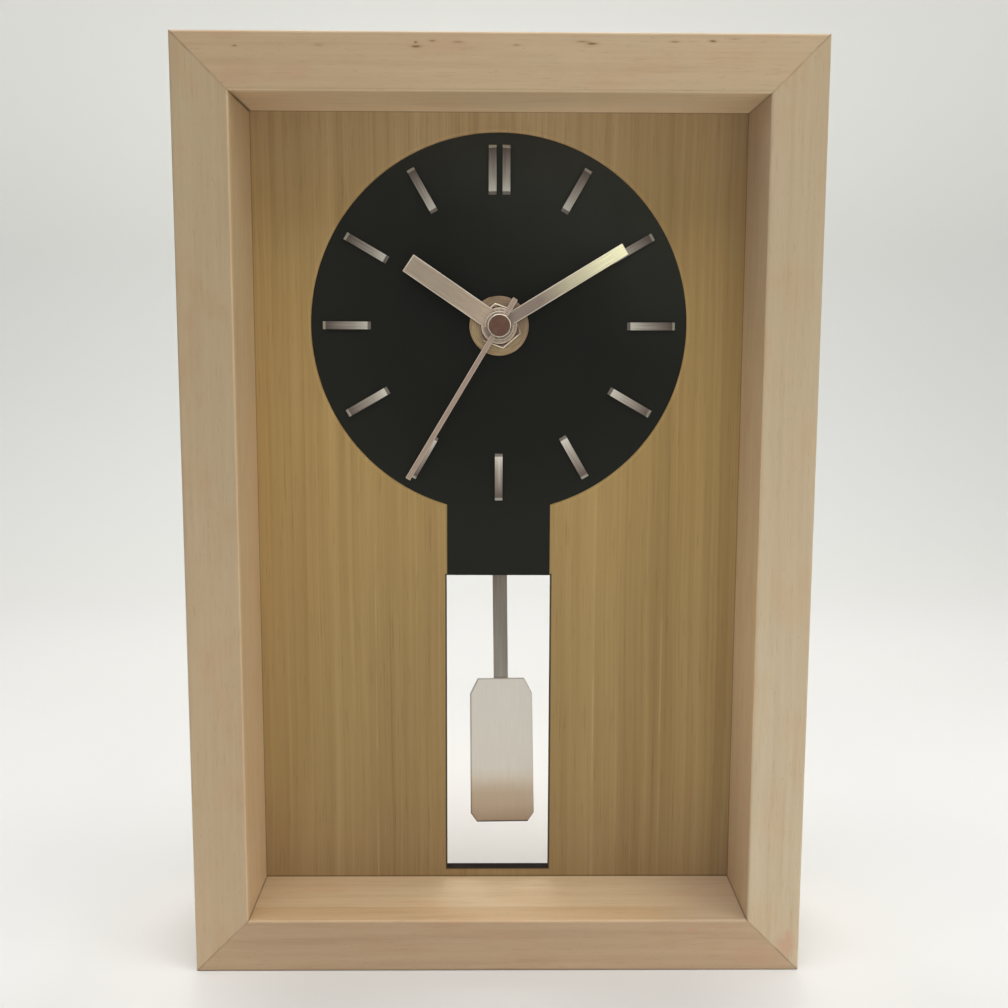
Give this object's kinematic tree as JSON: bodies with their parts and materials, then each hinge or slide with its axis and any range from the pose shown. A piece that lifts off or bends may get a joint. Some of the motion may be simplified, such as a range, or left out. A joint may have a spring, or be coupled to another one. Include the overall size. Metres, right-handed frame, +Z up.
{
  "type": "desk pendulum clock",
  "caption": "Battery desk clock in an open mitred wood frame: black keyhole dial with metal batons and hands, and a plate pendulum swinging behind a tall window.",
  "frame": {"origin": "centre of the footprint on the surface the clock stands on", "axes": "+Z up, +Y from the dial's front to the back, +X to the right seen from the front"},
  "size_m": [0.15, 0.05, 0.225],
  "materials": {
    "frame_wood": "pale pine, clear matt lacquer",
    "board_veneer": "straight-grained veneer, satin lacquer",
    "dial_black": "matt black paint",
    "baton_metal": "brushed along its length",
    "hand_metal": "brushed, warm silver",
    "cap_enamel": "polished dark red-brown",
    "hub_nickel": "turned, warm nickel plate",
    "brass": "turned brass",
    "steel": "bright plated steel",
    "pendulum_steel": "drawn steel strip",
    "bob_metal": "satin brushed plate",
    "rubber": "soft black rubber",
    "case_plastic": "fine textured black moulding",
    "lever_plastic": "moulded black",
    "knob_plastic": "moulded off-white",
    "wheel_plastic": "moulded natural resin",
    "magnet": "dark sintered magnet",
    "copper": "enamelled copper winding",
    "board_green": "printed circuit laminate",
    "crystal_can": "drawn metal can",
    "battery_jacket": "plain printed jacket with no marks"
  },
  "bodies": {
    "clock_case": {"frame_top_rail": "frame_wood", "frame_right_stile": "frame_wood", "frame_bottom_rail": "frame_wood", "frame_left_stile": "frame_wood", "corner_nails": "steel", "board_points": "steel", "dial_board": "board_veneer", "dial_plate": "dial_black", "hour_baton_01": "baton_metal", "hour_baton_02": "baton_metal", "hour_baton_03": "baton_metal", "hour_baton_04": "baton_metal", "hour_baton_05": "baton_metal", "hour_baton_06": "baton_metal", "hour_baton_07": "baton_metal", "hour_baton_08": "baton_metal", "hour_baton_09": "baton_metal", "hour_baton_10": "baton_metal", "hour_baton_11": "baton_metal", "hour_baton_12_left": "baton_metal", "hour_baton_12_right": "baton_metal", "shaft_washer": "hub_nickel", "shaft_nut": "hub_nickel", "cushion_washer": "rubber", "threaded_bush": "brass", "movement_case": "case_plastic", "movement_cover": "case_plastic", "train_plate": "wheel_plastic", "stator": "steel", "coil_core": "steel", "motor_coil": "copper", "circuit_board": "board_green", "quartz_crystal": "crystal_can", "battery": "battery_jacket", "battery_contact_plus": "steel", "battery_contact_minus": "steel", "drive_coil": "copper", "pivot_pin": "steel"},
    "second": {"second_wheel": "wheel_plastic", "second_hand": "hand_metal", "second_hand_cap": "cap_enamel"},
    "third": {"third_wheel": "wheel_plastic"},
    "centre": {"centre_wheel": "wheel_plastic"},
    "step": {"step_wheel": "wheel_plastic"},
    "rotor": {"rotor": "magnet"},
    "minute": {"cannon_pinion": "wheel_plastic", "minute_hand": "hand_metal"},
    "setting": {"minute_wheel": "wheel_plastic", "setting_knob": "knob_plastic"},
    "hour": {"hour_wheel": "wheel_plastic", "hour_hand": "hand_metal"},
    "pendulum": {"pendulum_lever": "lever_plastic", "pendulum_magnet": "magnet", "pendulum_rod": "pendulum_steel", "pendulum_bob": "bob_metal"}
  },
  "joints": [
    {"name": "second_hand_turn", "type": "hinge", "parent": "clock_case", "child": "second", "pos_m": [0, 0, 0.1594], "axis": [0, 1, 0], "continuous": true},
    {"name": "third_wheel_turn", "type": "hinge", "parent": "clock_case", "child": "third", "pos_m": [-0.009, 0, 0.1594], "axis": [0, 1, 0], "continuous": true},
    {"name": "centre_wheel_turn", "type": "hinge", "parent": "clock_case", "child": "centre", "pos_m": [0, 0, 0.1594], "axis": [0, 1, 0], "continuous": true},
    {"name": "step_wheel_turn", "type": "hinge", "parent": "clock_case", "child": "step", "pos_m": [0.00783, 0, 0.16392], "axis": [0, 1, 0], "continuous": true},
    {"name": "rotor_turn", "type": "hinge", "parent": "clock_case", "child": "rotor", "pos_m": [0.00964, 0, 0.17068], "axis": [0, 1, 0], "continuous": true},
    {"name": "minute_hand_turn", "type": "hinge", "parent": "clock_case", "child": "minute", "pos_m": [0, 0, 0.1594], "axis": [0, 1, 0], "continuous": true},
    {"name": "minute_wheel_turn", "type": "hinge", "parent": "clock_case", "child": "setting", "pos_m": [-0.00412, 0, 0.16823], "axis": [0, 1, 0], "continuous": true},
    {"name": "hour_hand_turn", "type": "hinge", "parent": "clock_case", "child": "hour", "pos_m": [0, 0, 0.1594], "axis": [0, 1, 0], "continuous": true},
    {"name": "pendulum_swing", "type": "hinge", "parent": "clock_case", "child": "pendulum", "pos_m": [0, 0, 0.1264], "axis": [0, 1, 0], "range_deg": [-6.25, 7.75]}
  ],
  "couplings": [
    {"joint": "third_wheel_turn", "follows": "second_hand_turn", "ratio": -0.13333},
    {"joint": "centre_wheel_turn", "follows": "second_hand_turn", "ratio": 0.016667},
    {"joint": "step_wheel_turn", "follows": "second_hand_turn", "ratio": -5},
    {"joint": "rotor_turn", "follows": "second_hand_turn", "ratio": 30},
    {"joint": "minute_wheel_turn", "follows": "minute_hand_turn", "ratio": -0.33333},
    {"joint": "hour_hand_turn", "follows": "minute_hand_turn", "ratio": 0.083333}
  ]
}
